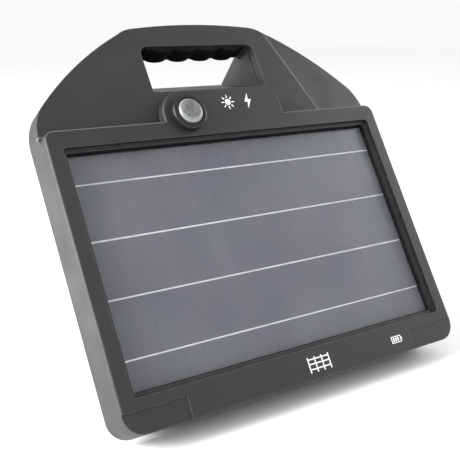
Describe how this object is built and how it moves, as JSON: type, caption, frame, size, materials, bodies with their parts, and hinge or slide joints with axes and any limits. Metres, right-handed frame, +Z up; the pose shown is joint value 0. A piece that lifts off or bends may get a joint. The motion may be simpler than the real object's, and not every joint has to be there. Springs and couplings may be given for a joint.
{
  "type": "fence energizer",
  "caption": "Solar fence energizer with a leaning panel, carry handle, push switch, battery housing with rear door, and two output terminals.",
  "frame": {"origin": "on the floor, under the middle of the object's box", "axes": "+X across the solar face to the right seen from the front, -Y the way the solar face looks, +Z up"},
  "size_m": [0.2846, 0.1882, 0.25],
  "materials": {
    "case_plastic": "fine spark-eroded texture",
    "rear_plastic": "fine spark-eroded texture",
    "door_plastic": "fine texture with ribs",
    "grip_rubber": "soft moulded pad",
    "window_glass": "clear, slightly matted",
    "silicon": "grey-violet cells with fine fingers",
    "ribbon_metal": "tinned flat wire",
    "backsheet": "laminated sheet",
    "seal_rubber": "soft seal",
    "clamp_steel": "zinc plated",
    "screw_steel": "zinc plated pan heads",
    "collar_plastic": "smooth black",
    "cap_silicone": "cloudy translucent grey",
    "spring_steel": "drawn wire",
    "switch_nut_brass": "plain brass",
    "switch_plastic": "moulded housing",
    "battery_case": "moulded case",
    "tab_metal": "tinned tab",
    "foam": "closed-cell foam",
    "shelf_plastic": "moulded shelf",
    "board_laminate": "green solder mask",
    "core_steel": "laminated core",
    "coil_tape": "taped winding",
    "capacitor_sleeve": "shrink sleeve",
    "pin_steel": "ground pin",
    "hanger_steel": "zinc plated sheet",
    "bush_plastic": "smooth insulator",
    "stud_steel": "stainless stud",
    "washer_steel": "stainless washer",
    "fence_knob_red": "red moulded knob",
    "earth_knob_green": "green moulded knob",
    "foot_rubber": "soft feet"
  },
  "bodies": {
    "housing": {"front_shell": "case_plastic", "rear_shell": "rear_plastic", "grip_pad": "grip_rubber", "solar_glass": "window_glass", "solar_cells": "silicon", "cell_ribbons": "ribbon_metal", "module_backsheet": "backsheet", "module_gasket": "seal_rubber", "case_seal": "seal_rubber", "door_seal": "seal_rubber", "module_clamps": "clamp_steel", "case_screws": "screw_steel", "clamp_screws": "screw_steel", "shelf_screws": "screw_steel", "board_screws": "screw_steel", "hanger_screws": "screw_steel", "switch_collar": "collar_plastic", "switch_nut": "switch_nut_brass", "terminal_nuts": "switch_nut_brass", "switch_body": "switch_plastic", "board_connectors": "switch_plastic", "battery": "battery_case", "battery_tabs": "tab_metal", "battery_pad": "foam", "board_shelf": "shelf_plastic", "circuit_board": "board_laminate", "transformer_core": "core_steel", "transformer_coil": "coil_tape", "storage_capacitor": "capacitor_sleeve", "hinge_pin": "pin_steel", "post_hanger": "hanger_steel", "fence_bush": "bush_plastic", "earth_bush": "bush_plastic", "fence_stud": "stud_steel", "earth_stud": "stud_steel", "rubber_feet": "foot_rubber"},
    "switch": {"switch_cap": "cap_silicone", "switch_spring": "spring_steel"},
    "door": {"battery_door": "door_plastic"},
    "fence_clamp": {"fence_washer": "washer_steel"},
    "fence_screw": {"fence_knob": "fence_knob_red"},
    "earth_clamp": {"earth_washer": "washer_steel"},
    "earth_screw": {"earth_knob": "earth_knob_green"}
  },
  "joints": [
    {"name": "switch_press", "type": "slide", "parent": "housing", "child": "switch", "axis": [0, 0.848, -0.5299], "range_m": [0, 0.0025], "stiffness_N_per_m": 600},
    {"name": "door_swing", "type": "hinge", "parent": "housing", "child": "door", "pos_m": [-0.09, 0.0615, 0.06], "axis": [0, 0, 1], "range_deg": [0, 115]},
    {"name": "fence_washer_slide", "type": "slide", "parent": "housing", "child": "fence_clamp", "axis": [0, 0.8292, -0.5589], "range_m": [0, 0.0025]},
    {"name": "fence_knob_turn", "type": "hinge", "parent": "fence_clamp", "child": "fence_screw", "pos_m": [-0.038, 0.08224, 0.16884], "axis": [0, 0.8292, -0.5589], "range_deg": [0, 900]},
    {"name": "earth_washer_slide", "type": "slide", "parent": "housing", "child": "earth_clamp", "axis": [0, 0.8292, -0.5589], "range_m": [0, 0.0025]},
    {"name": "earth_knob_turn", "type": "hinge", "parent": "earth_clamp", "child": "earth_screw", "pos_m": [0.038, 0.08224, 0.16884], "axis": [0, 0.8292, -0.5589], "range_deg": [0, 900]}
  ],
  "couplings": [
    {"joint": "fence_knob_turn", "follows": "fence_washer_slide", "rad_per_m": 6283.2},
    {"joint": "earth_knob_turn", "follows": "earth_washer_slide", "rad_per_m": 6283.2}
  ]
}
